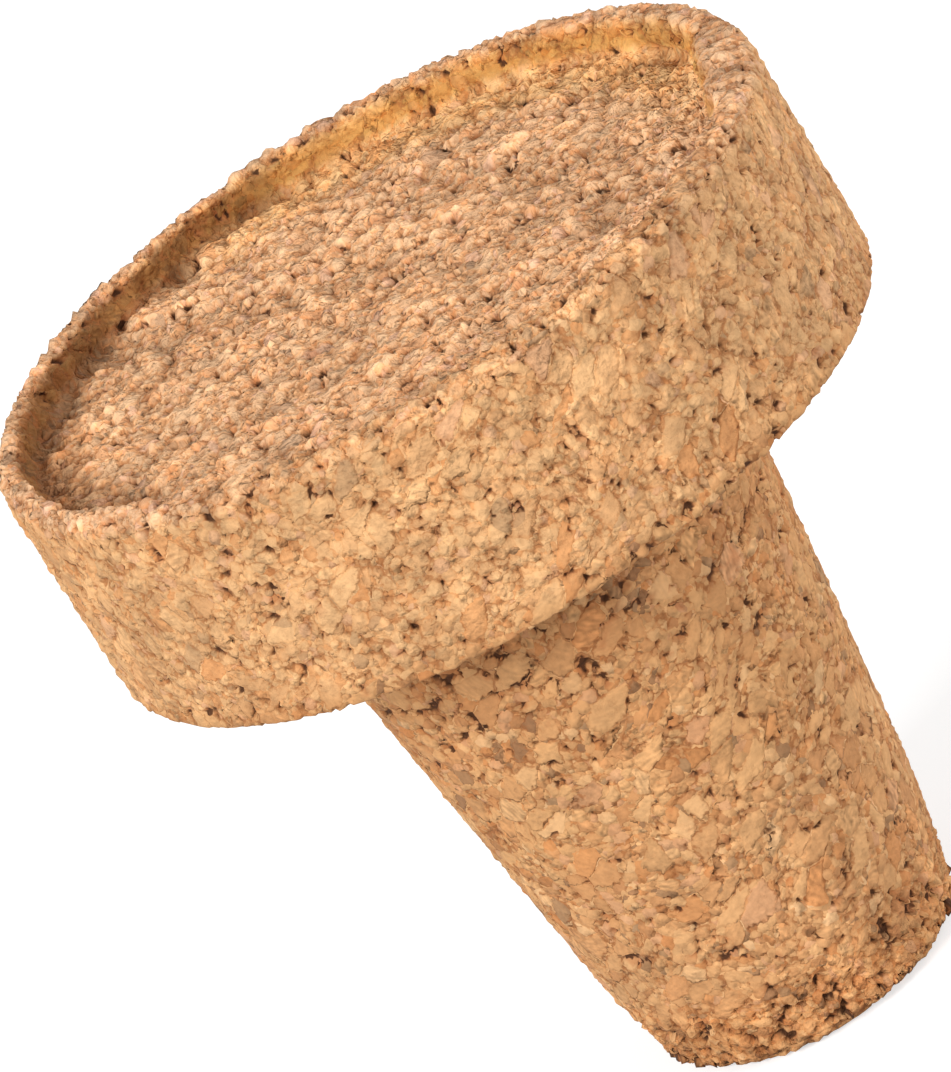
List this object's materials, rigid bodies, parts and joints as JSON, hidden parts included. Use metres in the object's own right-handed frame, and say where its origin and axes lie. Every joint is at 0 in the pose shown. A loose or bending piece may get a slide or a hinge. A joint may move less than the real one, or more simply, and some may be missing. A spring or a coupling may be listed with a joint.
{
  "type": "cork stopper",
  "caption": "One-piece pressed-cork bottle stopper with a wide round head, a shallow dished top and a tapered shank.",
  "frame": {"origin": "centre of the shank's flat end face, which the stopper stands on", "axes": "+Z along the stopper's axis from the shank's end to the head's top; X and Y are free, because the part is round"},
  "size_m": [0.04, 0.04, 0.0428],
  "materials": {
    "cork": "bare ground agglomerated cork, matt, tan with darker chips and pits"
  },
  "bodies": {
    "root": {"stopper": "cork"}
  },
  "joints": []
}
